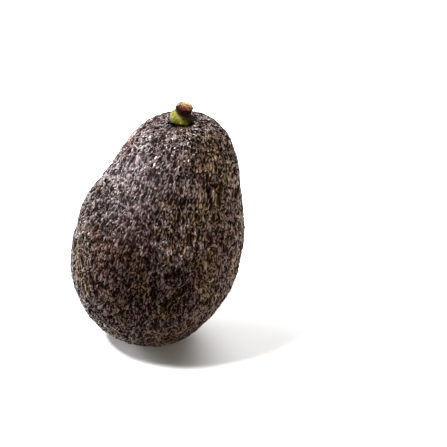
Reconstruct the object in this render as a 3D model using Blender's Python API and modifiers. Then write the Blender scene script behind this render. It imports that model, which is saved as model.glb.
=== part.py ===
"""A whole avocado with dark, pebbled skin, standing on its blunt end, with its cut stem on top.

Frame: +Z up, the origin in the middle of the flat spot that the fruit stands on. The fruit leans
towards +X, and its fuller side is at -X. Sizes here are in millimetres, and MM makes them metres.
"""

import math
import random

import bmesh
import bpy
import numpy as np
from mathutils import Matrix, Vector

MM = 0.001

# The fruit's outline: distances from its core to the skin, taken every 22.5 degrees round the
# fruit's own axis, from the stem down the +X side to the blossom end and up the -X side
OUTLINE_RADII = (56, 51.5, 39, 34.5, 33, 35, 38, 43.5, 44.5, 43.5, 39.5, 35, 32, 32.5, 34, 44.5)
CORE = Vector((1.5, -0.7, 43.2))
LEAN_TO_X = 10.5
LEAN_TO_FRONT = 3.0
FRONT_BACK_FLATNESS = 0.03

# The shallow dip of the shoulder round the stem, and the edge of the flat spot below
DIP_DEPTH = 3.0
DIP_WIDTH = 11.0
FLAT_SPOT_BLEND = 0.25

# Pebbles of the skin, larger than life: each is a small six-sided cell with a furrow round it
PEBBLES_PER_BALL_EDGE = 14
PEBBLE_SCATTER = 0.2
PEBBLE_HEIGHTS = (0.12, 0.26)
FURROW_DEPTHS = (0.34, 0.42)
PEBBLE_SEED = 31
SMOOTH_ABOVE_FLOOR = (0.1, 2.0)
FINE_ROUND_STEM = (5.0, 15.0)
FINE_PEBBLE_SHARE = 0.4
AREA_STEPS = 360

# The stem's cage: radius and height above the skin, from its hidden foot to the cut face
STEM_CAGE = (
    (2.7, -0.95),
    (4.2, -0.75),
    (4.75, 0.3),
    (4.7, 1.5),
    (4.1, 2.5),
    (3.2, 2.8),
    (3.0, 3.6),
    (3.35, 5.1),
    (3.05, 5.85),
    (1.9, 5.75),
)
STEM_FOOT_CENTRE = -0.95
STEM_CUT_CENTRE = 5.5
STEM_SIDES = 14
STUB_START = 2.0
STUB_LEAN = 10.0
CUT_START = 4.0
CUT_TILT_TO_FRONT = 7.0
COLLAR_LOBES = 5
COLLAR_LOBE_SHARE = 0.035
STEM_OVALITY = 0.04
CUT_FACE_ROUGHNESS = 0.22
STEM_SEED = 5

# The round seat in the skin that the stem sits in, as rings of radius and height from the skin
SEAT_CUTTER = ((4.1, -1.25), (5.0, 0.0), (5.0, 7.0))
SEAT_SIDES = 32

# The small scar of the flower at the blossom end, a shallow pit in the flat spot
SCAR_CUTTER = ((1.7, -1.0), (1.6, 0.0), (0.9, 0.6))
SCAR_SIDES = 12

# Edges sharper than this stay crisp in a smooth-shaded view, so that each pebble reads as one
FURROW_EDGE_ANGLE = 50
STEM_EDGE_ANGLE = 50

# Colours as the shader takes them, in linear light
SKIN_COLOUR = (0.045, 0.027, 0.024)
SKIN_ROUGHNESS = 0.42
STEM_COLOUR = (0.3, 0.24, 0.05)
STEM_ROUGHNESS = 0.65


def clear_scene():
    for obj in list(bpy.data.objects):
        bpy.data.objects.remove(obj)


def new_collection(name):
    collection = bpy.data.collections.new(name)
    bpy.context.scene.collection.children.link(collection)
    return collection


def plain_material(name, colour, roughness):
    material = bpy.data.materials.new(name)
    material.use_nodes = True
    shader = material.node_tree.nodes["Principled BSDF"]
    shader.inputs["Base Color"].default_value = (*colour, 1.0)
    shader.inputs["Roughness"].default_value = roughness
    shader.inputs["Metallic"].default_value = 0.0
    return material


def add_object(name, bm, collection, material=None):
    """Turns millimetres into metres and links the mesh as a named object."""
    bmesh.ops.scale(bm, vec=(MM, MM, MM), verts=bm.verts)
    mesh = bpy.data.meshes.new(name)
    bm.to_mesh(mesh)
    bm.free()
    obj = bpy.data.objects.new(name, mesh)
    collection.objects.link(obj)
    if material:
        mesh.materials.append(material)
    return obj


def smooth_step(value, start, end):
    share = min(max((value - start) / (end - start), 0.0), 1.0)
    return share * share * (3 - 2 * share)


class FruitForm:
    """The fruit without its pebbles: one smooth surface, given by the outline."""

    def __init__(self):
        waves = np.fft.rfft(OUTLINE_RADII) / len(OUTLINE_RADII)
        self.even = 2 * waves.real
        self.even[[0, -1]] /= 2
        self.odd = -2 * waves.imag
        self.orders = np.arange(len(waves))
        lean_right = Matrix.Rotation(math.radians(LEAN_TO_X), 3, "Y")
        lean_front = Matrix.Rotation(math.radians(LEAN_TO_FRONT), 3, "X")
        self.turn = lean_front @ lean_right
        self.stem_axis = self.turn @ Vector((0, 0, 1))
        self.pole = CORE + self.stem_axis * OUTLINE_RADII[0]
        self.stem_foot = self.pole - Vector((0, 0, DIP_DEPTH))
        self.polar_steps = np.linspace(0, math.pi, AREA_STEPS + 1)
        self.area_shares = self.skin_area_above(self.polar_steps)

    def skin_area_above(self, polar):
        """The share of the skin that lies nearer to the stem than each polar angle."""
        mean = np.cos(np.outer(polar, self.orders)) @ self.even
        ring = mean * np.sin(polar)
        slant = np.hypot(np.diff(ring), np.diff(mean * np.cos(polar)))
        area = np.append(0, np.cumsum(slant * (ring[1:] + ring[:-1])))
        return area / area[-1]

    def point(self, ball_point):
        """The place on the skin for a point on a unit ball, so that an even spread of points on the
        ball stays even on the skin."""
        polar = float(np.interp((1 - ball_point.z) / 2, self.area_shares, self.polar_steps))
        around = math.atan2(ball_point.y, ball_point.x)
        mean = float(self.even @ np.cos(self.orders * polar))
        one_sided = float(self.odd @ np.sin(self.orders * polar))
        towards = Matrix.Rotation(around, 3, "Z") @ Vector((math.sin(polar), 0, math.cos(polar)))
        radius = (mean + one_sided * math.cos(around)) * (1 - FRONT_BACK_FLATNESS * towards.y**2)
        place = CORE + self.turn @ (towards * radius)
        reach = (place - self.pole).length / DIP_WIDTH
        place.z -= DIP_DEPTH * math.exp(-(reach**2))
        return above_floor(place)


def above_floor(place):
    """Flattens what would hang below the floor, with a soft edge round the flat spot."""
    if place.z < FLAT_SPOT_BLEND:
        rise = max(place.z + FLAT_SPOT_BLEND, 0.0)
        place.z = rise**2 / (4 * FLAT_SPOT_BLEND)
    return place


def pebbled_ball():
    """A unit ball of pebble cells. Each cell is a fan of triangles round its crown. The first points
    are the crowns, scattered a little off their grid, and the rest are the corners where furrows
    meet: poking the crowns' triangles makes the corners, and turning their edges joins the corners."""
    draw = random.Random(PEBBLE_SEED)
    bm = bmesh.new()
    bmesh.ops.create_icosphere(bm, subdivisions=1, radius=1.0)
    bmesh.ops.subdivide_edges(bm, edges=bm.edges, cuts=PEBBLES_PER_BALL_EDGE - 1, use_grid_fill=True)
    spacing = math.sqrt(4 * math.pi / len(bm.verts))
    for vert in bm.verts:
        nudge = Vector([draw.uniform(-1, 1) for _ in range(3)]) * spacing * PEBBLE_SCATTER
        vert.co = (vert.co.normalized() + nudge).normalized()
    crowns = len(bm.verts)
    between_crowns = list(bm.edges)
    bmesh.ops.poke(bm, faces=bm.faces)
    bmesh.ops.rotate_edges(bm, edges=between_crowns)
    for vert in bm.verts:
        vert.co.normalize()
    bm.verts.index_update()
    return bm, crowns


def relief(vert, crowns, draw):
    """How far a point is raised: a crown goes up and a furrow's corner down, both in step with the
    size of the cells round it."""
    reach = sum(edge.calc_length() for edge in vert.link_edges) / len(vert.link_edges)
    if vert.index < crowns:
        return reach * draw.uniform(*PEBBLE_HEIGHTS)
    return -reach * draw.uniform(*FURROW_DEPTHS)


def make_fruit(form, collection, material):
    """The whole fruit is one closed solid. Its pebbles fade into the flat spot it stands on, and
    they are finer round the stem."""
    bm, crowns = pebbled_ball()
    for vert in bm.verts:
        vert.co = form.point(vert.co)
    bm.normal_update()
    draw = random.Random(PEBBLE_SEED + 1)
    heights = [relief(vert, crowns, draw) for vert in bm.verts]
    normals = [vert.normal.copy() for vert in bm.verts]
    for vert, height, normal in zip(bm.verts, heights, normals):
        from_stem = (vert.co - form.stem_foot).length
        share = smooth_step(vert.co.z, *SMOOTH_ABOVE_FLOOR)
        share *= FINE_PEBBLE_SHARE + (1 - FINE_PEBBLE_SHARE) * smooth_step(from_stem, *FINE_ROUND_STEM)
        vert.co += normal * height * share
        vert.co.z = max(vert.co.z, 0.0)
    return add_object("fruit", bm, collection, material)


def stem_frame(form):
    """From the stem's own millimetres, up its axis from the skin, to the fruit's place."""
    upright = Vector((0, 0, 1)).rotation_difference(form.stem_axis).to_matrix().to_4x4()
    return Matrix.Translation(form.stem_foot) @ upright


def lathe(rings, sides, foot_centre=None, top_centre=None):
    """A closed turned shape from rings of (radius, height), from its foot up. A fan closes each end,
    level with the last ring or with its middle at another height."""
    bm = bmesh.new()
    foot_centre = rings[0][1] if foot_centre is None else foot_centre
    top_centre = rings[-1][1] if top_centre is None else top_centre
    outline = [(0.0, foot_centre), *rings, (0.0, top_centre)]
    points = [bm.verts.new((radius, 0.0, height)) for radius, height in outline]
    edges = [bm.edges.new(pair) for pair in zip(points, points[1:])]
    bmesh.ops.spin(
        bm, geom=points + edges, cent=(0, 0, 0), axis=(0, 0, 1), angle=math.tau, steps=sides, use_merge=True
    )
    bmesh.ops.remove_doubles(bm, verts=bm.verts, dist=1e-4)
    bmesh.ops.recalc_face_normals(bm, faces=bm.faces)
    return bm


def make_stem(form, collection, material):
    """The swollen foot of the stalk and the short stub that the picker's cut left on it. Both grew
    as one piece: the foot is lobed, and the stub leans and ends in a rough, slanting cut face."""
    draw = random.Random(STEM_SEED)
    bm = lathe(STEM_CAGE, STEM_SIDES, STEM_FOOT_CENTRE, STEM_CUT_CENTRE)
    lean = math.tan(math.radians(STUB_LEAN))
    tilt = math.tan(math.radians(CUT_TILT_TO_FRONT))
    for vert in sorted(bm.verts, key=lambda v: (round(v.co.z, 3), math.atan2(v.co.y, v.co.x))):
        around = math.atan2(vert.co.y, vert.co.x)
        on_collar = 1 - smooth_step(vert.co.z, STUB_START - 1, STUB_START + 1)
        swell = 1 + STEM_OVALITY * math.cos(2 * around)
        swell += COLLAR_LOBE_SHARE * on_collar * math.cos(COLLAR_LOBES * around)
        vert.co.x *= swell
        vert.co.y *= swell
        if vert.co.z >= STEM_CUT_CENTRE:
            vert.co.z += draw.uniform(-CUT_FACE_ROUGHNESS, CUT_FACE_ROUGHNESS)
        vert.co.z += tilt * vert.co.y * smooth_step(vert.co.z, CUT_START, STEM_CUT_CENTRE)
        vert.co.x += lean * max(vert.co.z - STUB_START, 0.0)
    bmesh.ops.transform(bm, matrix=stem_frame(form), verts=bm.verts)
    stem = add_object("stem", bm, collection, material)
    rounding = stem.modifiers.new("rounding", "SUBSURF")
    rounding.levels = 1
    rounding.render_levels = 1
    return stem


def cut_round(target, name, rings, sides, place, collection):
    """Sinks a turned hollow into the target, at a place given as a matrix in millimetres."""
    bm = lathe(rings, sides)
    bmesh.ops.transform(bm, matrix=place, verts=bm.verts)
    cutter = add_object(f"{name}_cutter", bm, collection)
    cutter.hide_render = True
    cutter.display_type = "WIRE"
    cut = target.modifiers.new(name, "BOOLEAN")
    cut.operation = "DIFFERENCE"
    cut.solver = "EXACT"
    cut.object = cutter


def shade_smooth_rounded(obj, sharp_over_degrees):
    """Shades an object smooth, with the edges sharper than the given angle left crisp."""
    obj.data.shade_smooth()
    obj.data.set_sharp_from_angle(angle=math.radians(sharp_over_degrees))


def main():
    clear_scene()
    parts = new_collection("avocado")
    cutters = new_collection("cutters")
    skin_colour = plain_material("skin_dark_pebbled", SKIN_COLOUR, SKIN_ROUGHNESS)
    stem_colour = plain_material("stem_green_brown", STEM_COLOUR, STEM_ROUGHNESS)
    form = FruitForm()
    fruit = make_fruit(form, parts, skin_colour)
    blossom_end = CORE - form.stem_axis * OUTLINE_RADII[len(OUTLINE_RADII) // 2]
    on_floor = Matrix.Translation((blossom_end.x, blossom_end.y, 0.0))
    cut_round(fruit, "stem_seat", SEAT_CUTTER, SEAT_SIDES, stem_frame(form), cutters)
    cut_round(fruit, "blossom_scar", SCAR_CUTTER, SCAR_SIDES, on_floor, cutters)
    stem = make_stem(form, parts, stem_colour)
    shade_smooth_rounded(fruit, FURROW_EDGE_ANGLE)
    shade_smooth_rounded(stem, STEM_EDGE_ANGLE)


main()
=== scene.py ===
"""The avocado's looks: its pebbled skin and its stem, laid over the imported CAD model."""

import math

import bmesh
import bpy
import numpy as np
from mathutils import Matrix, Vector, noise


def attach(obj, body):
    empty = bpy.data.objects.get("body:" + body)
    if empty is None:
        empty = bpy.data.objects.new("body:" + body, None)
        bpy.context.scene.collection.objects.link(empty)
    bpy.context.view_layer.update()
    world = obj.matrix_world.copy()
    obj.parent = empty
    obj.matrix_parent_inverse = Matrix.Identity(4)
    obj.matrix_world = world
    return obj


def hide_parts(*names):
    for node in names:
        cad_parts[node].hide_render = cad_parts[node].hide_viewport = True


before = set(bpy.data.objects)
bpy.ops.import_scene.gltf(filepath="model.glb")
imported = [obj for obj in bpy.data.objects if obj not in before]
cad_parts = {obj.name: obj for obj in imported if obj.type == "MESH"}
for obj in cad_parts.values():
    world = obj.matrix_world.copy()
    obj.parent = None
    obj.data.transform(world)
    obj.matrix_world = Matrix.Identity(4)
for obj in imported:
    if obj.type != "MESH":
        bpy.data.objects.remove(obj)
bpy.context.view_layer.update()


# The fruit. One piece that grew as a whole: a leathery rind over the flesh and the seed. The rind
# is covered in hard, glossy pebbles with dark pits between them. It stands on a small flat spot at
# its blunt end. All its sizes are in millimetres.

OUTLINE_RADII = (56, 51.5, 39, 34.5, 33, 35, 38, 43.5, 44.5, 43.5, 39.5, 35, 32, 32.5, 34, 44.5)
CORE = Vector((1.5, -0.7, 43.2))
LEAN_TO_X = 10.5
LEAN_TO_FRONT = 3.0
FRONT_BACK_FLATNESS = 0.03
DIP_DEPTH = 3.0
DIP_WIDTH = 11.0
FLAT_SPOT_BLEND = 0.25
SCAR_DEPTH = 0.7
SCAR_WIDTH = 1.8
PEBBLES = 10400
PEBBLE_STRETCH = 1.7
PEBBLE_SCATTER = 0.36
FINER_BELOW = 0.6
JOINED_SHARE = 0.68
JOINED_NEAR_STEM = 0.95
NEAR_STEM_RISE = 2.5
NEAR_STEM_START = 0.8
JOINED_SIDEWAYS = 0.12
MOST_SLANT = 0.5
MOST_JOINED = 5
PEBBLE_SEED = 7
POLAR_STEPS = 721
MM = 0.001

lean = Matrix.Rotation(math.radians(LEAN_TO_FRONT), 3, "X") @ Matrix.Rotation(
    math.radians(LEAN_TO_X), 3, "Y"
)
stem_axis = lean @ Vector((0, 0, 1))
pole = CORE + stem_axis * OUTLINE_RADII[0]
stem_foot = pole - Vector((0, 0, DIP_DEPTH))
blossom_end = CORE - stem_axis * OUTLINE_RADII[len(OUTLINE_RADII) // 2]
blossom_end.z = 0


def outline_waves(polar):
    """The outline's mean distance from the core at these polar angles, and how far the two sides
    differ from it."""
    waves = np.fft.rfft(OUTLINE_RADII) / len(OUTLINE_RADII)
    even = 2 * waves.real
    even[[0, -1]] /= 2
    steps = np.outer(polar, np.arange(len(waves)))
    return np.cos(steps) @ even, np.sin(steps) @ (-2 * waves.imag)


def fruit_surface(ball):
    """Places on the smooth fruit, in millimetres, for points on a unit ball. An even spread on the
    ball stays even on the fruit."""
    steps = np.linspace(0, math.pi, POLAR_STEPS)
    mean, _ = outline_waves(steps)
    ring = mean * np.sin(steps)
    slant = np.hypot(np.diff(ring), np.diff(mean * np.cos(steps)))
    area = np.append(0, np.cumsum(slant * (ring[1:] + ring[:-1])))
    polar = np.interp((1 - ball[:, 2]) / 2, area / area[-1], steps)
    around = np.arctan2(ball[:, 1], ball[:, 0])
    towards = np.column_stack(
        (np.sin(polar) * np.cos(around), np.sin(polar) * np.sin(around), np.cos(polar))
    )
    mean, one_sided = outline_waves(polar)
    radius = (mean + one_sided * np.cos(around)) * (1 - FRONT_BACK_FLATNESS * towards[:, 1] ** 2)
    place = np.array(CORE) + (towards * radius[:, None]) @ np.array(lean).T
    reach = np.linalg.norm(place - np.array(pole), axis=1) / DIP_WIDTH
    place[:, 2] -= DIP_DEPTH * np.exp(-(reach**2))
    rise = np.maximum(place[:, 2] + FLAT_SPOT_BLEND, 0)
    place[:, 2] = np.where(
        place[:, 2] < FLAT_SPOT_BLEND, rise**2 / (4 * FLAT_SPOT_BLEND), place[:, 2]
    )
    from_scar = np.linalg.norm(place - np.array(blossom_end), axis=1) / SCAR_WIDTH
    place[:, 2] += SCAR_DEPTH * np.exp(-(from_scar**2))
    return place


def set_attribute(mesh, name, kind, values):
    """Gives each point of a mesh a number or a vector under this name."""
    key = "vector" if kind == "FLOAT_VECTOR" else "value"
    mesh.attributes.new(name, kind, "POINT").data.foreach_set(key, np.ravel(values))


def scattered_points(draw):
    """One point for each pebble on a unit ball: a spiral, with each point nudged off it at random.
    They are spread evenly on a flattened ball, so that the pebbles come out long on a round one."""
    steps = np.linspace(0, math.pi, POLAR_STEPS)
    share = np.sin(steps) * np.hypot(np.cos(steps), np.sin(steps) / PEBBLE_STRETCH)
    area = np.cumsum(share * (1 + FINER_BELOW * (1 - np.cos(steps)) / 2))
    turns = np.arange(PEBBLES) + 0.5
    polar = np.interp(turns / PEBBLES, area / area[-1], steps)
    around = turns * math.pi * (3 - math.sqrt(5))
    points = np.column_stack(
        (np.sin(polar) * np.cos(around), np.sin(polar) * np.sin(around), np.cos(polar))
    )
    spacing = math.sqrt(4 * math.pi / PEBBLES)
    points += draw.normal(0, PEBBLE_SCATTER * spacing, points.shape)
    return points / np.linalg.norm(points, axis=1)[:, None]


def pebble_cells():
    """A unit ball of flat cells, one face for each pebble, with some joined end to end into ridges
    that run along the fruit, most of all round the stem. Poking the triangles between the points
    and turning their edges draws the furrows, and dissolving the points clears each cell."""
    draw = np.random.default_rng(PEBBLE_SEED)
    ball = bmesh.new()
    for x, y, z in scattered_points(draw):
        ball.verts.new((x, y, z / PEBBLE_STRETCH))
    bmesh.ops.convex_hull(ball, input=ball.verts)
    crowns = list(ball.verts)
    between_crowns = list(ball.edges)
    bmesh.ops.poke(ball, faces=ball.faces)
    bmesh.ops.rotate_edges(ball, edges=between_crowns)
    bmesh.ops.dissolve_verts(ball, verts=crowns)
    ridges = {cell: {cell} for cell in ball.faces}
    shared_furrows = []
    for furrow in ball.edges:
        start, end = (corner.co for corner in furrow.verts)
        along_fruit = (Vector((0, 0, 1)) - start * start.z / start.length_squared).normalized()
        runs_across = abs((end - start).normalized().dot(along_fruit)) < MOST_SLANT
        one, other = (ridges[cell] for cell in furrow.link_faces)
        near_stem = min(max(start.normalized().z * NEAR_STEM_RISE - NEAR_STEM_START, 0), 1)
        joined_share = JOINED_SIDEWAYS * (1 - near_stem)
        if runs_across:
            joined_share = JOINED_SHARE + (JOINED_NEAR_STEM - JOINED_SHARE) * near_stem
        if draw.random() > joined_share:
            continue
        if one is other or len(one) + len(other) > MOST_JOINED:
            continue
        one |= other
        for cell in other:
            ridges[cell] = one
        shared_furrows.append(furrow)
    bmesh.ops.dissolve_edges(ball, edges=shared_furrows)
    bmesh.ops.recalc_face_normals(ball, faces=ball.faces)
    for corner in ball.verts:
        corner.co.z *= PEBBLE_STRETCH
        corner.co.normalize()
    return ball


ball = pebble_cells()
skin_mesh = bpy.data.meshes.new("rind")
ball.to_mesh(skin_mesh)
ball.free()
points = np.empty(len(skin_mesh.vertices) * 3)
skin_mesh.vertices.foreach_get("co", points)
points = points.reshape(-1, 3)
places = fruit_surface(points)
skin_mesh.vertices.foreach_set("co", np.ravel(places * MM))
skin_mesh.shade_smooth()

# Each point keeps its place in the rind's grain, which runs from the stem to the blossom end, and
# its way from the stem. One unit of the grain is about 1.5 mm across the fruit and 5 mm along it,
# so that what noise draws in it comes out long
GRAIN_LENGTH = 9.0
GRAIN_RING = 5.5
GRAIN_WIDENING = 0.6
upright_places = (places - np.array(CORE)) @ np.array(lean)
ring = np.hypot(upright_places[:, 0], upright_places[:, 1])
grain_ring = np.hypot(ring * GRAIN_WIDENING, GRAIN_RING) / np.maximum(ring, 1e-6)
down_the_side = np.arctan2(ring, upright_places[:, 2]) * GRAIN_LENGTH
in_grain = np.column_stack((upright_places[:, :2] * grain_ring[:, None], down_the_side))
from_stem = places - np.array(stem_foot)
reach = np.linalg.norm(from_stem, axis=1)
set_attribute(skin_mesh, "in_grain", "FLOAT_VECTOR", in_grain)
set_attribute(skin_mesh, "stem_reach", "FLOAT", reach)
set_attribute(skin_mesh, "stem_turn", "FLOAT_VECTOR", from_stem / reach[:, None])


def add_node(tree, kind, inputs=None, **settings):
    """Adds a node with its settings. Each input takes a value, or a link from another node. A map
    range turns the range from input 1 to input 2 into the range from input 3 to input 4."""
    node = tree.nodes.new(kind)
    for name, value in settings.items():
        setattr(node, name, value)
    for key, value in (inputs or {}).items():
        if isinstance(value, bpy.types.NodeSocket):
            tree.links.new(value, node.inputs[key])
        else:
            node.inputs[key].default_value = value
    return node


PEBBLE_SIZES = {
    "Pebble height": 0.6,
    "Taper": 0.55,
    "Lowest": 0.7,
    "Highest": 1.2,
    "Patch size": 2.4,
    "Share at lower end": 0.55,
    "Patch unevenness": 0.25,
    "Swell size": 12.0,
    "Swell height": 1.0,
    "Wrinkle height": 2.6,
    "Wrinkle reach": 22.0,
    "Foot reach": 4.0,
    "Share near stem": 0.4,
    "Seat reach": 6.3,
    "Seat floor reach": 4.5,
    "Seat depth": 0.9,
    "Furrow depth": 0.38,
    "Unevenness": 0.7,
    "Seed": 3,
}


def pebble_tree():
    """Turns each cell of a smooth skin into a pebble that rises steeply from the furrow round it
    and then rounds off. Its sizes are in millimetres, apart from the shares and from the patch
    size, which is in units of the rind's grain."""
    tree = bpy.data.node_groups.new("pebbled_skin", "GeometryNodeTree")
    tree.interface.new_socket("Geometry", in_out="INPUT", socket_type="NodeSocketGeometry")
    for name, size in PEBBLE_SIZES.items():
        kind = "NodeSocketInt" if isinstance(size, int) else "NodeSocketFloat"
        tree.interface.new_socket(name, in_out="INPUT", socket_type=kind)
    tree.interface.new_socket("Skin", in_out="INPUT", socket_type="NodeSocketMaterial")
    tree.interface.new_socket("Geometry", in_out="OUTPUT", socket_type="NodeSocketGeometry")
    given = add_node(tree, "NodeGroupInput").outputs

    # Slow swells of the whole rind, and wrinkles that run out from the stem and fade
    position = add_node(tree, "GeometryNodeInputPosition").outputs[0]
    in_grain = add_node(
        tree, "GeometryNodeInputNamedAttribute", {"Name": "in_grain"}, data_type="FLOAT_VECTOR"
    ).outputs[0]
    reach = add_node(
        tree, "GeometryNodeInputNamedAttribute", {"Name": "stem_reach"}, data_type="FLOAT"
    ).outputs[0]
    turn = add_node(
        tree, "GeometryNodeInputNamedAttribute", {"Name": "stem_turn"}, data_type="FLOAT_VECTOR"
    ).outputs[0]
    swell_scale = add_node(
        tree, "ShaderNodeMath", {0: 1 / MM, 1: given["Swell size"]}, operation="DIVIDE"
    ).outputs[0]
    swell = add_node(
        tree, "ShaderNodeTexNoise",
        {"Vector": position, "Scale": swell_scale, "Detail": 2.0, "Roughness": 0.6},
    ).outputs["Fac"]
    swell = add_node(tree, "ShaderNodeMath", {0: swell, 1: 0.5}, operation="SUBTRACT").outputs[0]
    swell = add_node(
        tree, "ShaderNodeMath", {0: swell, 1: given["Swell height"]}, operation="MULTIPLY"
    ).outputs[0]
    spokes = add_node(
        tree, "ShaderNodeTexNoise", {"Vector": turn, "Scale": 8.0, "Detail": 3.0}
    ).outputs["Fac"]
    spokes = add_node(tree, "ShaderNodeMath", {0: spokes, 1: 0.5}, operation="SUBTRACT").outputs[0]
    near_stem = add_node(
        tree, "ShaderNodeMapRange",
        {"Value": reach, 1: given["Wrinkle reach"], 2: given["Foot reach"]},
        interpolation_type="SMOOTHSTEP",
    ).outputs[0]
    wrinkle = add_node(
        tree, "ShaderNodeMath", {0: spokes, 1: given["Wrinkle height"]}, operation="MULTIPLY"
    ).outputs[0]
    waves = add_node(
        tree, "ShaderNodeMath", {0: wrinkle, 1: near_stem, 2: swell}, operation="MULTIPLY_ADD"
    ).outputs[0]

    # The rind sinks into a seat for the stem's foot
    seat = add_node(
        tree, "ShaderNodeMapRange",
        {
            "Value": reach,
            1: given["Seat reach"],
            2: given["Seat floor reach"],
            4: given["Seat depth"],
        },
        interpolation_type="SMOOTHSTEP",
    ).outputs[0]
    waves = add_node(tree, "ShaderNodeMath", {0: waves, 1: seat}, operation="SUBTRACT").outputs[0]

    # Nothing rises from the flat spot, nor sinks below it
    above = add_node(tree, "ShaderNodeSeparateXYZ", {0: position}).outputs["Z"]
    clear = add_node(
        tree, "ShaderNodeMapRange", {"Value": above, 1: 0.2 * MM, 2: 2 * MM},
        interpolation_type="SMOOTHSTEP",
    ).outputs[0]
    waves = add_node(tree, "ShaderNodeMath", {0: waves, 1: clear}, operation="MULTIPLY").outputs[0]
    waves = add_node(tree, "ShaderNodeMath", {0: waves, 1: MM}, operation="MULTIPLY").outputs[0]
    normal = add_node(tree, "GeometryNodeInputNormal").outputs[0]
    waves = add_node(
        tree, "ShaderNodeVectorMath", {0: normal, "Scale": waves}, operation="SCALE"
    ).outputs[0]
    skin = add_node(
        tree, "GeometryNodeSetPosition", {"Geometry": given["Geometry"], "Offset": waves}
    ).outputs[0]

    # Each cell gets its own random tone, which also sets how tall it is. Pebbles are uneven in
    # patches, and lower round the stem and towards the blossom end
    tone = add_node(
        tree, "FunctionNodeRandomValue", {2: 0.0, 3: 1.0, "Seed": given["Seed"]}, data_type="FLOAT"
    ).outputs[1]
    skin = add_node(
        tree, "GeometryNodeStoreNamedAttribute", {"Geometry": skin, "Name": "tone", "Value": tone},
        data_type="FLOAT", domain="FACE",
    ).outputs[0]
    tone = add_node(
        tree, "GeometryNodeInputNamedAttribute", {"Name": "tone"}, data_type="FLOAT"
    ).outputs[0]
    tall = add_node(
        tree, "ShaderNodeMapRange",
        {"Value": tone, 1: 0.1, 3: given["Lowest"], 4: given["Highest"]},
    ).outputs[0]
    patch_scale = add_node(
        tree, "ShaderNodeMath", {0: 1.0, 1: given["Patch size"]}, operation="DIVIDE"
    ).outputs[0]
    patch = add_node(
        tree, "ShaderNodeTexNoise", {"Vector": in_grain, "Scale": patch_scale, "Detail": 3.0}
    ).outputs["Fac"]
    patch = add_node(
        tree, "ShaderNodeMapRange", {"Value": patch, 1: 0.3, 2: 0.7, 3: -1.0}
    ).outputs[0]
    patch = add_node(
        tree, "ShaderNodeMath", {0: patch, 1: given["Patch unevenness"], 2: 1.0},
        operation="MULTIPLY_ADD",
    ).outputs[0]
    near_stem_share = add_node(
        tree, "ShaderNodeMapRange", {"Value": near_stem, 3: 1.0, 4: given["Share near stem"]}
    ).outputs[0]
    lower_end_share = add_node(
        tree, "ShaderNodeMapRange",
        {"Value": above, 1: 8 * MM, 2: 45 * MM, 3: given["Share at lower end"]},
        interpolation_type="SMOOTHSTEP",
    ).outputs[0]
    for share in (patch, near_stem_share, lower_end_share, clear, given["Pebble height"], MM):
        tall = add_node(
            tree, "ShaderNodeMath", {0: tall, 1: share}, operation="MULTIPLY"
        ).outputs[0]

    # Each cell is raised and its top drawn in, which leaves a sloping wall down to the furrow. A
    # small cell is drawn in by a larger share than a big one, so that all walls slope alike, and
    # each by up to a tenth more at random
    raised = add_node(
        tree, "GeometryNodeExtrudeMesh",
        {"Mesh": skin, "Offset Scale": tall, "Individual": True},
        mode="FACES",
    ).outputs
    cell_area = add_node(tree, "GeometryNodeInputMeshFaceArea").outputs[0]
    cell_size = add_node(tree, "ShaderNodeMath", {0: cell_area}, operation="SQRT").outputs[0]
    taper = add_node(
        tree, "ShaderNodeMath", {0: given["Taper"], 1: MM}, operation="MULTIPLY"
    ).outputs[0]
    taper = add_node(
        tree, "ShaderNodeMath", {0: taper, 1: cell_size}, operation="DIVIDE"
    ).outputs[0]
    wander = add_node(
        tree, "FunctionNodeRandomValue", {2: 0.9, 3: 1.0, "Seed": given["Seed"]}, data_type="FLOAT"
    ).outputs[1]
    kept = add_node(tree, "ShaderNodeMath", {0: wander, 1: taper}, operation="SUBTRACT").outputs[0]
    skin = add_node(
        tree, "GeometryNodeScaleElements",
        {"Geometry": raised["Mesh"], "Selection": raised["Top"], "Scale": kept},
        domain="FACE", scale_mode="UNIFORM",
    ).outputs[0]
    skin = add_node(
        tree, "GeometryNodeStoreNamedAttribute",
        {"Geometry": skin, "Selection": raised["Top"], "Name": "crown", "Value": 1.0},
        data_type="FLOAT", domain="POINT",
    ).outputs[0]

    # The furrows' level is lowered so that the pebbles' tops keep the fruit's outline
    sink = add_node(
        tree, "ShaderNodeMath", {0: given["Furrow depth"], 1: -MM}, operation="MULTIPLY"
    ).outputs[0]
    sink = add_node(tree, "ShaderNodeMath", {0: sink, 1: clear}, operation="MULTIPLY").outputs[0]
    sink = add_node(
        tree, "ShaderNodeVectorMath", {0: normal, "Scale": sink}, operation="SCALE"
    ).outputs[0]

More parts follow.
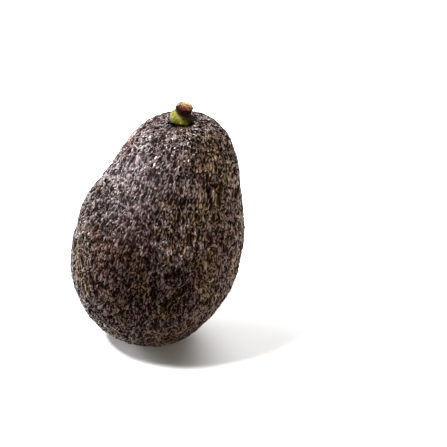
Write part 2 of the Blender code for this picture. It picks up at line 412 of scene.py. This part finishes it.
    # Fine unevenness, about 1 mm across, turns the cells' straight edges into grown ones
    rough = add_node(
        tree, "ShaderNodeTexNoise", {"Vector": position, "Scale": 0.9 / MM, "Detail": 2.0}
    ).outputs["Color"]
    rough = add_node(
        tree, "ShaderNodeVectorMath", {0: rough, 1: (0.5, 0.5, 0.5)}, operation="SUBTRACT"
    ).outputs[0]
    rough_size = add_node(
        tree, "ShaderNodeMath", {0: given["Unevenness"], 1: MM}, operation="MULTIPLY"
    ).outputs[0]
    rough_size = add_node(
        tree, "ShaderNodeMath", {0: rough_size, 1: clear}, operation="MULTIPLY"
    ).outputs[0]
    rough = add_node(
        tree, "ShaderNodeVectorMath", {0: rough, "Scale": rough_size}, operation="SCALE"
    ).outputs[0]
    shift = add_node(tree, "ShaderNodeVectorMath", {0: rough, 1: sink}, operation="ADD").outputs[0]
    skin = add_node(tree, "GeometryNodeSetPosition", {"Geometry": skin, "Offset": shift}).outputs[0]
    skin = add_node(tree, "GeometryNodeSetShadeSmooth", {"Geometry": skin}).outputs[0]
    skin = add_node(tree, "GeometryNodeRealizeInstances", {0: skin}).outputs[0]
    skin = add_node(
        tree, "GeometryNodeSetMaterial", {"Geometry": skin, "Material": given["Skin"]}
    ).outputs[0]
    add_node(tree, "NodeGroupOutput", {0: skin})
    return tree


def linear(hex_colour):
    """A colour as the shader takes it, from its sRGB hex value."""
    channels = [int(hex_colour[i : i + 2], 16) / 255 for i in (1, 3, 5)]
    light = [c / 12.92 if c <= 0.04045 else ((c + 0.055) / 1.055) ** 2.4 for c in channels]
    return (*light, 1.0)


def ramp(node, stops):
    """Sets a colour ramp's stops, each a position and an sRGB hex colour."""
    elements = node.color_ramp.elements
    while len(elements) < len(stops):
        elements.new(0.5)
    for element, (position, colour) in zip(elements, stops):
        element.position = position
        element.color = linear(colour)


# Ripe rind: a leathery peel, left as it grew, under a thin natural wax. Its pits are painted nearly
# black as shade, the pebbles' flanks are purple-brown, and their worn tops are paler and glossier.
PURPLE_TONES = ((0.0, "#150706"), (0.35, "#281410"), (0.75, "#36251f"), (1.0, "#40312b"))
BROWN_TONES = ((0.0, "#180a04"), (0.35, "#2d1a0a"), (0.75, "#3f2d18"), (1.0, "#4a3a24"))
WAX_COLOUR = "#6a5f62"
RUBBED_COLOUR = "#7d5c56"
SCAR_COLOUR = "#4a3823"
DULL_ROUGHNESS = 0.7
GLOSSY_ROUGHNESS = 0.24
WAX_ROUGHNESS = 0.35
# How far the creases are darkened as painted shade and the ridges brightened as painted light
CREASE_PAINTED_SHADE = 0.3
RIDGE_PAINTED_LIGHT = 1.6

# Zones of the rind. Each has its middle, an outer and an inner distance from it in millimetres, and
# the share that it gives outside and inside them
BROWN_SIDE = (45, -12, 55)
BELLY = (-1.5, -33, 38)
RIND_ZONES = {
    # The brown side zone adds painted warm light to the right side's colour
    "brown side": (BROWN_SIDE, 52, 30, 0.0, 0.06),
    "waxed shoulder": ((-16, -16, 86), 37, 10, 0.0, 0.8),
    "painted glint middle": ((8.5, -28.5, 57.5), 16, 6, 0.0, 0.9),
    "rubbed shoulder": ((-9.5, -3, 86.6), 8, 2, 0.0, 0.55),
    "blossom scar": (blossom_end, 3, 1.8, 0.0, 0.85),
    # Two zones darken the belly and the left flank as painted shade
    "belly painted shade": (BELLY, 26, 6, 1.0, 0.56),
    "left flank painted shade and dullness": ((-23.5, -16, 66), 18, 5, 1.0, 0.62),
    "belly shine": (BELLY, 45, 12, 1.0, 0.15),
    "brown side shine": (BROWN_SIDE, 45, 20, 1.0, 0.5),
}

rind = bpy.data.materials.new("ripe_rind")
rind.use_nodes = True
tree = rind.node_tree
rind_shader = tree.nodes["Principled BSDF"]
crown = add_node(tree, "ShaderNodeAttribute", attribute_name="crown").outputs["Fac"]
tone = add_node(tree, "ShaderNodeAttribute", attribute_name="tone").outputs["Fac"]
stem_reach = add_node(tree, "ShaderNodeAttribute", attribute_name="stem_reach").outputs["Fac"]
in_grain = add_node(tree, "ShaderNodeAttribute", attribute_name="in_grain").outputs["Vector"]
where = add_node(tree, "ShaderNodeTexCoord").outputs["Object"]
zones = {}
for zone, (middle, outer, inner, outside, inside) in RIND_ZONES.items():
    away = add_node(
        tree, "ShaderNodeVectorMath", {0: where, 1: Vector(middle) * MM}, operation="DISTANCE"
    ).outputs["Value"]
    zones[zone] = add_node(
        tree, "ShaderNodeMapRange",
        {"Value": away, 1: outer * MM, 2: inner * MM, 3: outside, 4: inside},
        interpolation_type="SMOOTHSTEP",
    ).outputs[0]

# Fine worm-like ridges cross the pebbles, with dull creases between them. They follow the level
# lines of a warped noise, as the lines of a fingerprint would. The real ones are about 0.5 mm
# apart, and these are about 1 mm apart, so that they show
RIDGE_BENDS = 1.4
LEVEL_STEP = 0.085
CREASE_EDGE = 0.062
RIDGE_EDGE = 0.012
bends = add_node(tree, "ShaderNodeTexNoise", {"Vector": in_grain, "Scale": 0.5, "Detail": 1.0})
bent_grain = add_node(
    tree, "ShaderNodeVectorMath",
    {0: bends.outputs["Color"], 1: [RIDGE_BENDS] * 3, 2: in_grain},
    operation="MULTIPLY_ADD",
).outputs[0]
worms = add_node(
    tree, "ShaderNodeTexNoise",
    {"Vector": bent_grain, "Scale": 0.45, "Detail": 1.0, "Roughness": 0.6},
).outputs["Fac"]
off_ridge = add_node(
    tree, "ShaderNodeMath", {0: worms, 1: LEVEL_STEP}, operation="PINGPONG"
).outputs[0]
ridge = add_node(
    tree, "ShaderNodeMapRange", {"Value": off_ridge, 1: CREASE_EDGE, 2: RIDGE_EDGE},
    interpolation_type="SMOOTHSTEP",
).outputs[0]

# Each pebble is darkest at its foot, as painted shade in the pits. Most of the rind is
# purple-brown, with blotches about 10 mm across of a warmer brown, more of them on the right as
# painted warm light
# The ramps' dark low ends are painted shade at each pebble's foot
purple_tone = add_node(tree, "ShaderNodeValToRGB", {"Fac": crown})
ramp(purple_tone, PURPLE_TONES)
brown_tone = add_node(tree, "ShaderNodeValToRGB", {"Fac": crown})
ramp(brown_tone, BROWN_TONES)
blotch = add_node(
    tree, "ShaderNodeTexNoise", {"Vector": where, "Scale": 1 / (10 * MM), "Detail": 1.0}
).outputs["Fac"]
# More warm brown on the right: painted warm light thrown back from what stood beside the fruit
blotch = add_node(
    tree, "ShaderNodeMath", {0: blotch, 1: zones["brown side"]}, operation="ADD"
).outputs[0]
brown_share = add_node(
    tree, "ShaderNodeMapRange", {"Value": blotch, 1: 0.48, 2: 0.68, 4: 0.85}
).outputs[0]
colour = add_node(
    tree, "ShaderNodeMix",
    {"Factor": brown_share, 6: purple_tone.outputs["Color"], 7: brown_tone.outputs["Color"]},
    data_type="RGBA",
).outputs[2]

# Wear and gloss keep to the pebbles' tops, and wax lies further down their flanks
raised, wax_depth = (
    add_node(tree, "ShaderNodeMapRange", {"Value": crown, 1: 0.2, 2: 0.8, 3: in_furrow}).outputs[0]
    for in_furrow in (0.1, 0.4)
)

# Natural wax greys the left shoulder in flecks. Small pale specks in the middle of the front, in
# the wax's colour, are painted glints
flecks = add_node(
    tree, "ShaderNodeTexNoise", {"Vector": in_grain, "Scale": 0.35, "Detail": 4.0}
).outputs["Fac"]
flecks = add_node(tree, "ShaderNodeMapRange", {"Value": flecks, 1: 0.4, 2: 0.6, 3: 0.35}).outputs[0]
waxed = add_node(
    tree, "ShaderNodeMath", {0: zones["waxed shoulder"], 1: flecks}, operation="MULTIPLY"
).outputs[0]
# Painted glints: pale specks in the wax's colour, in the middle of the front
painted_glints = add_node(
    tree, "ShaderNodeTexNoise", {"Vector": in_grain, "Scale": 1.0, "Detail": 2.0}
).outputs["Fac"]
painted_glints = add_node(
    tree, "ShaderNodeMapRange", {"Value": painted_glints, 1: 0.53, 2: 0.61},
    interpolation_type="SMOOTHSTEP",
).outputs[0]
painted_glints = add_node(
    tree, "ShaderNodeMath", {0: painted_glints, 1: zones["painted glint middle"]}, operation="MULTIPLY"
).outputs[0]
waxed = add_node(tree, "ShaderNodeMath", {0: waxed, 1: painted_glints}, operation="MAXIMUM").outputs[0]
waxed = add_node(tree, "ShaderNodeMath", {0: waxed, 1: wax_depth}, operation="MULTIPLY").outputs[0]

# A patch high on the left is rubbed pinkish, and the scar that the blossom left is a dry brown
rubbed = add_node(
    tree, "ShaderNodeMath", {0: zones["rubbed shoulder"], 1: raised}, operation="MULTIPLY"
).outputs[0]
scarred = zones["blossom scar"]
for share, tint in ((waxed, WAX_COLOUR), (rubbed, RUBBED_COLOUR), (scarred, SCAR_COLOUR)):
    colour = add_node(
        tree, "ShaderNodeMix", {"Factor": share, 6: colour, 7: linear(tint)}, data_type="RGBA"
    ).outputs[2]

# The belly, low in front, and the left flank are darkened as painted shade, and the seat round the
# stem as the stem's painted shade. Clusters and single pebbles differ a little, and the creases are
# painted dark as shade
clusters = add_node(
    tree, "ShaderNodeTexNoise",
    {"Vector": in_grain, "Scale": 0.5, "Detail": 3.0, "Roughness": 0.65},
).outputs["Fac"]
cluster_light = add_node(
    tree, "ShaderNodeMapRange", {"Value": clusters, 1: 0.36, 2: 0.64, 3: 0.6, 4: 1.3},
    interpolation_type="SMOOTHSTEP",
).outputs[0]
pebble_light = add_node(tree, "ShaderNodeMapRange", {"Value": tone, 3: 0.9, 4: 1.12}).outputs[0]
seat_light = add_node(
    tree, "ShaderNodeMapRange", {"Value": stem_reach, 1: 5.2, 2: 6.2, 3: 0.08},
    interpolation_type="SMOOTHSTEP",
).outputs[0]
# The colour is darkened in the creases as painted shade and brightened on the ridges as painted
# light
light = add_node(
    tree, "ShaderNodeMapRange", {"Value": ridge, 3: CREASE_PAINTED_SHADE, 4: RIDGE_PAINTED_LIGHT}
).outputs[0]
painted_shade_zones = (zones["belly painted shade"], zones["left flank painted shade and dullness"], seat_light)
for share in (pebble_light, cluster_light, *painted_shade_zones):
    light = add_node(tree, "ShaderNodeMath", {0: light, 1: share}, operation="MULTIPLY").outputs[0]
colour = add_node(
    tree, "ShaderNodeVectorMath", {0: colour, "Scale": light}, operation="SCALE"
).outputs[0]
tree.links.new(colour, rind_shader.inputs["Base Color"])

# The worn tops are glossy, and the pits, the creases and thick wax are dull. The darkest zones and
# the brown side shine least
smooth_share = add_node(
    tree, "ShaderNodeMath", {0: raised, 1: ridge}, operation="MULTIPLY"
).outputs[0]
gloss = add_node(
    tree, "ShaderNodeMapRange", {"Value": smooth_share, 3: DULL_ROUGHNESS, 4: GLOSSY_ROUGHNESS}
).outputs[0]
gloss = add_node(
    tree, "ShaderNodeMath", {0: waxed, 1: WAX_ROUGHNESS, 2: gloss}, operation="MULTIPLY_ADD"
).outputs[0]
tree.links.new(gloss, rind_shader.inputs["Roughness"])
shine = smooth_share
for share in (zones["belly shine"], zones["brown side shine"], zones["left flank painted shade and dullness"]):
    shine = add_node(tree, "ShaderNodeMath", {0: shine, 1: share}, operation="MULTIPLY").outputs[0]
tree.links.new(shine, rind_shader.inputs["Specular IOR Level"])
ridge_bump = add_node(
    tree, "ShaderNodeBump", {"Height": ridge, "Strength": 0.9, "Distance": 0.4 * MM}
).outputs[0]
tree.links.new(ridge_bump, rind_shader.inputs["Normal"])
rind_shader.inputs["IOR"].default_value = 1.45

smooth_fruit = bpy.data.objects.new("smooth_fruit", skin_mesh)
bpy.context.scene.collection.objects.link(smooth_fruit)
pebbling = smooth_fruit.modifiers.new("pebbling", "NODES")
pebbling.node_group = pebble_tree()
for socket in pebbling.node_group.interface.items_tree:
    if socket.name in PEBBLE_SIZES:
        pebbling[socket.identifier] = PEBBLE_SIZES[socket.name]
    if socket.name == "Skin":
        pebbling[socket.identifier] = rind
graph = bpy.context.evaluated_depsgraph_get()
pebbled_mesh = bpy.data.meshes.new_from_object(smooth_fruit.evaluated_get(graph))
pebbled_mesh.name = "pebbled_fruit"
fruit = bpy.data.objects.new("pebbled_fruit", pebbled_mesh)
bpy.context.scene.collection.objects.link(fruit)
bpy.data.objects.remove(smooth_fruit)
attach(fruit, "root")
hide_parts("fruit")


# The stem. The swollen, waxy green foot of the stalk, browned where it has dried and darkened there
# with painted shade, and the short stub that the picker's cut left on it: purplish bark round a
# corky cut face. They grew as one piece, and the foot sits in the dip at the top of the fruit.

STEM_CAGE = (
    (2.6, -0.95),
    (3.9, -0.75),
    (4.4, 0.3),
    (4.35, 1.5),
    (3.9, 2.4),
    (3.15, 2.75),
    (2.95, 3.6),
    (3.2, 4.8),
    (3.25, 5.3),
    (2.9, 5.7),
    (2.3, 5.95),
    (1.2, 6.15),
)
STEM_SIDES = 24
STEM_SHIFT = -0.3
STUB_START = 2.0
STUB_LEAN = 10.0
CUT_START = 4.0
CUT_END = 5.4
CUT_TILT = 7.0
CUT_EDGE = (5.2, 5.5)
CUT_RADII = (2.6, 3.05)
FOOT_IN_SEAT = (-0.9, -0.4)
COLLAR_LOBES = 5
COLLAR_LOBE_SHARE = 0.03
WART_HEIGHTS = (0.13, 0.05)
BARK_WRINKLE_HEIGHT = 0.16
CUT_TEAR_HEIGHT = 0.42

stem_lathe = bmesh.new()
outline = [(0, STEM_CAGE[0][1]), *STEM_CAGE, (0, STEM_CAGE[-1][1])]
outline = [stem_lathe.verts.new((radius, 0, height)) for radius, height in outline]
outline += [stem_lathe.edges.new(pair) for pair in zip(outline, outline[1:])]
bmesh.ops.spin(
    stem_lathe, geom=outline, cent=(0, 0, 0), axis=(0, 0, 1), angle=math.tau, steps=STEM_SIDES,
    use_merge=True,
)
bmesh.ops.remove_doubles(stem_lathe, verts=stem_lathe.verts, dist=1e-4)
bmesh.ops.recalc_face_normals(stem_lathe, faces=stem_lathe.faces)
stem_cage = bpy.data.meshes.new("stem_cage")
stem_lathe.to_mesh(stem_cage)
stem_lathe.free()
turned_stem = bpy.data.objects.new("turned_stem", stem_cage)
bpy.context.scene.collection.objects.link(turned_stem)
rounding = turned_stem.modifiers.new("rounding", "SUBSURF")
rounding.levels = 3
rounding.render_levels = 3
graph = bpy.context.evaluated_depsgraph_get()
stem_mesh = bpy.data.meshes.new_from_object(turned_stem.evaluated_get(graph))
stem_mesh.name = "cut_stem"
bpy.data.objects.remove(turned_stem)


def smooth_step(value, start, end):
    """0 up to start, 1 from end on, and an even, rounded rise between them."""
    share = np.clip((value - start) / (end - start), 0, 1)
    return share * share * (3 - 2 * share)


def noise_at(points, octaves=3):
    """Noise from about -1 to 1 at each point, with finer noise laid over it."""
    return np.array([noise.fractal(point, 0.6, 2.0, octaves) for point in points])


# The stem's own millimetres: its axis is z, and the fruit's right is x
count = len(stem_mesh.vertices)
stem_points = np.empty(count * 3)
stem_mesh.vertices.foreach_get("co", stem_points)
stem_points = stem_points.reshape(-1, 3)
stem_normals = np.empty(count * 3)
stem_mesh.vertex_normals.foreach_get("vector", stem_normals)
stem_normals = stem_normals.reshape(-1, 3)
height = stem_points[:, 2]
radius = np.hypot(stem_points[:, 0], stem_points[:, 1])
around = np.arctan2(stem_points[:, 1], stem_points[:, 0])
on_collar = 1 - smooth_step(height, STUB_START + 0.4, STUB_START + 1.2)
at_cut = smooth_step(height, *CUT_EDGE)
on_cut = at_cut * (1 - smooth_step(radius, *CUT_RADII))
on_bark = (1 - on_collar) * (1 - on_cut)

# The bark is wrinkled lengthwise, the foot is lobed, with broad and fine warts, and the cut face is
# torn. The 5.0 only picks another patch of the noise. What sits in the seat stays smooth
spokes = np.column_stack((np.cos(around) * 3.6, np.sin(around) * 3.6, height * 0.3))
relief = on_bark * BARK_WRINKLE_HEIGHT * noise_at(spokes)
for wart_height, warts_per_mm in zip(WART_HEIGHTS, (0.5, 2.5)):
    relief += on_collar * wart_height * noise_at(stem_points * warts_per_mm)
relief += on_collar * COLLAR_LOBE_SHARE * radius * np.cos(COLLAR_LOBES * around)
tears = stem_points * (0.8, 0.8, 0.4) + 5.0
relief += on_cut * CUT_TEAR_HEIGHT * noise_at(tears, octaves=5)
relief *= smooth_step(height, *FOOT_IN_SEAT)

# The stub leans to the right, and its cut slants down to the front
shaped = stem_points + stem_normals * relief[:, None]
shaped[:, 0] += math.tan(math.radians(STUB_LEAN)) * np.maximum(shaped[:, 2] - STUB_START, 0)
near_cut = smooth_step(height, CUT_START, CUT_END)
shaped[:, 2] += math.tan(math.radians(CUT_TILT)) * stem_points[:, 1] * near_cut
shaped[:, 0] += STEM_SHIFT
upright = Vector((0, 0, 1)).rotation_difference(stem_axis).to_matrix()
stem_places = shaped @ np.array(upright).T + np.array(stem_foot)
stem_mesh.vertices.foreach_set("co", np.ravel(stem_places * MM))
stem_mesh.shade_smooth()
set_attribute(stem_mesh, "stem_place", "FLOAT_VECTOR", stem_points)
set_attribute(stem_mesh, "on_cut", "FLOAT", on_cut)
set_attribute(stem_mesh, "cut_rim", "FLOAT", at_cut * (1 - on_cut))

# Stalk skin and cut wood, grown and then sliced through. The living foot is a waxy yellow-green,
# the dried side and the bark are dull and nearly black, partly as painted shade on the side away
# from the light, and the cork of the cut is tan with rusty blotches and a pale rim.
GREEN_TONES = ((0.36, "#333005"), (0.46, "#4f4b05"), (0.54, "#6b650a"), (0.64, "#86802c"))
BARK_TONES = ((0.3, "#050202"), (0.5, "#140505"), (0.7, "#270e0c"))
DRIED_FOOT_TONES = ((0.35, "#0d0903"), (0.5, "#1f1707"), (0.65, "#33280f"))
CORK_TONES = ((0.34, "#260d06"), (0.43, "#4e2b18"), (0.51, "#745b3e"), (0.6, "#958a6e"))
RIM_COLOUR = "#7a7050"

stalk = bpy.data.materials.new("stalk_skin_and_cut_wood")
stalk.use_nodes = True
tree = stalk.node_tree
stalk_shader = tree.nodes["Principled BSDF"]
on_stem = add_node(tree, "ShaderNodeAttribute", attribute_name="stem_place").outputs["Vector"]
across, far_side, up = add_node(tree, "ShaderNodeSeparateXYZ", {0: on_stem}).outputs
mottle = add_node(
    tree, "ShaderNodeTexNoise",
    {"Vector": on_stem, "Scale": 0.8, "Detail": 6.0, "Roughness": 0.65},
)
grain = add_node(tree, "ShaderNodeTexNoise", {"Vector": on_stem, "Scale": 2.4, "Detail": 4.0})

# The dark side, dried skin darkened further by painted shade, begins along a ragged slanting line,
# from high on the left to the foot on the right. Low on the foot it is a browner, less purple black
slant = add_node(
    tree, "ShaderNodeMath", {0: across, 1: 0.6, 2: up}, operation="MULTIPLY_ADD"
).outputs[0]
slant = add_node(
    tree, "ShaderNodeMath", {0: mottle.outputs["Fac"], 1: 3.0, 2: slant},
    operation="MULTIPLY_ADD",
).outputs[0]
dried_and_shaded_side = add_node(
    tree, "ShaderNodeMapRange", {"Value": slant, 1: 2.7, 2: 4.3}, interpolation_type="SMOOTHSTEP"
).outputs[0]
green = add_node(tree, "ShaderNodeValToRGB", {"Fac": mottle.outputs["Fac"]})
ramp(green, GREEN_TONES)
bark = add_node(tree, "ShaderNodeValToRGB", {"Fac": grain.outputs["Fac"]})
ramp(bark, BARK_TONES)
dried_foot = add_node(tree, "ShaderNodeValToRGB", {"Fac": grain.outputs["Fac"]})
ramp(dried_foot, DRIED_FOOT_TONES)
low_down = add_node(
    tree, "ShaderNodeMapRange", {"Value": up, 1: 3.0, 2: 1.6}, interpolation_type="SMOOTHSTEP"
).outputs[0]
dried_tone = add_node(
    tree, "ShaderNodeMix",
    {"Factor": low_down, 6: bark.outputs["Color"], 7: dried_foot.outputs["Color"]},
    data_type="RGBA",
).outputs[2]
stem_colour = add_node(
    tree, "ShaderNodeMix",
    {"Factor": dried_and_shaded_side, 6: green.outputs["Color"], 7: dried_tone},
    data_type="RGBA",
).outputs[2]

# The cork is blotchy and gets paler to the back, and where it is pale the bark's rim is too
blotches = add_node(
    tree, "ShaderNodeMix", {0: 0.5, 2: mottle.outputs["Fac"], 3: grain.outputs["Fac"]},
    data_type="FLOAT",
).outputs[0]
cork_tone = add_node(
    tree, "ShaderNodeMath", {0: far_side, 1: 0.05, 2: blotches}, operation="MULTIPLY_ADD"
).outputs[0]
cork = add_node(tree, "ShaderNodeValToRGB", {"Fac": cork_tone})
ramp(cork, CORK_TONES)
on_cut = add_node(tree, "ShaderNodeAttribute", attribute_name="on_cut").outputs["Fac"]
stem_colour = add_node(
    tree, "ShaderNodeMix", {"Factor": on_cut, 6: stem_colour, 7: cork.outputs["Color"]},
    data_type="RGBA",
).outputs[2]
cut_rim = add_node(tree, "ShaderNodeAttribute", attribute_name="cut_rim").outputs["Fac"]
pale = add_node(tree, "ShaderNodeMapRange", {"Value": cork_tone, 1: 0.48, 2: 0.58}).outputs[0]
rim_share = add_node(tree, "ShaderNodeMath", {0: cut_rim, 1: pale}, operation="MULTIPLY").outputs[0]
stem_colour = add_node(
    tree, "ShaderNodeMix", {"Factor": rim_share, 6: stem_colour, 7: linear(RIM_COLOUR)},
    data_type="RGBA",
).outputs[2]
tree.links.new(stem_colour, stalk_shader.inputs["Base Color"])

# The cut cork is the dullest, and the dried skin has lost its wax
stalk_gloss = add_node(tree, "ShaderNodeMapRange", {"Value": on_cut, 3: 0.55, 4: 0.9}).outputs[0]
tree.links.new(stalk_gloss, stalk_shader.inputs["Roughness"])
stalk_bump = add_node(
    tree, "ShaderNodeBump",
    {"Height": grain.outputs["Fac"], "Strength": 0.4, "Distance": 0.3 * MM},
).outputs[0]
tree.links.new(stalk_bump, stalk_shader.inputs["Normal"])
stalk_shine = add_node(tree, "ShaderNodeMapRange", {"Value": dried_and_shaded_side, 3: 0.25, 4: 0.03}).outputs[0]
tree.links.new(stalk_shine, stalk_shader.inputs["Specular IOR Level"])
stalk_shader.inputs["IOR"].default_value = 1.45
stem_mesh.materials.clear()
stem_mesh.materials.append(stalk)

stem = bpy.data.objects.new("cut_stem", stem_mesh)
bpy.context.scene.collection.objects.link(stem)
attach(stem, "root")
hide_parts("stem")


# The camera looks down on the fruit's front, and the fruit stands left of the picture's middle.

CAMERA_AIM = Vector((27.2, -0.7, 50.2)) * MM
CAMERA_DISTANCE = 0.48227
CAMERA_ELEVATION = math.radians(28)
camera_data = bpy.data.cameras.new("camera")
camera_data.lens = 100
camera_data.sensor_width = 36
camera = bpy.data.objects.new("camera", camera_data)
bpy.context.scene.collection.objects.link(camera)
towards_camera = Vector((0, -math.cos(CAMERA_ELEVATION), math.sin(CAMERA_ELEVATION)))
camera.location = CAMERA_AIM + towards_camera * CAMERA_DISTANCE
camera.rotation_euler = towards_camera.to_track_quat("Z", "Y").to_euler()
bpy.context.scene.camera = camera


# The floor and the light of a plain studio: a pale floor, the main light high on the left, weaker
# ones low at both sides, the right one a little warm, and a wide one from behind.

floor_mesh = bmesh.new()
bmesh.ops.create_circle(floor_mesh, cap_ends=True, segments=96, radius=3.0)
floor_data = bpy.data.meshes.new("floor")
floor_mesh.to_mesh(floor_data)
floor_mesh.free()
floor = bpy.data.objects.new("floor", floor_data)
bpy.context.scene.collection.objects.link(floor)

# Matt white paint, rolled on, which scatters the light evenly and hardly shines
floor_paint = bpy.data.materials.new("white_floor")
floor_paint.use_nodes = True
floor_shader = floor_paint.node_tree.nodes["Principled BSDF"]
floor_shader.inputs["Base Color"].default_value = linear("#d2d2d2")
floor_shader.inputs["Roughness"].default_value = 0.9
floor_data.materials.append(floor_paint)

FRUIT_MIDDLE = Vector((0, 0, 0.05))
WARM_LIGHT = (1.0, 0.88, 0.72)


def soft_light(name, place, side, watts, colour=(1.0, 1.0, 1.0)):
    """A square soft light that faces the fruit's middle."""
    lamp = bpy.data.lights.new(name, "AREA")
    lamp.color = colour
    lamp.size = side
    lamp.energy = watts
    obj = bpy.data.objects.new(name, lamp)
    bpy.context.scene.collection.objects.link(obj)
    obj.location = place
    from_fruit = Vector(place) - FRUIT_MIDDLE
    obj.rotation_euler = from_fruit.to_track_quat("Z", "Y").to_euler()


soft_light("key_light", (-0.46, -0.16, 0.95), 0.2, 34)
soft_light("left_light", (-0.88, 0.45, 0.3), 0.4, 15)
soft_light("right_light", (0.88, -0.32, 0.05), 0.4, 13, WARM_LIGHT)
soft_light("back_light", (0.3, 0.8, 0.8), 0.9, 26)
world = bpy.data.worlds.new("studio")
world.use_nodes = True
room_light = world.node_tree.nodes["Background"]
room_light.inputs["Color"].default_value = (1.0, 1.0, 1.0, 1.0)
room_light.inputs["Strength"].default_value = 0.09
bpy.context.scene.world = world
bpy.context.scene.view_settings.view_transform = "Standard"
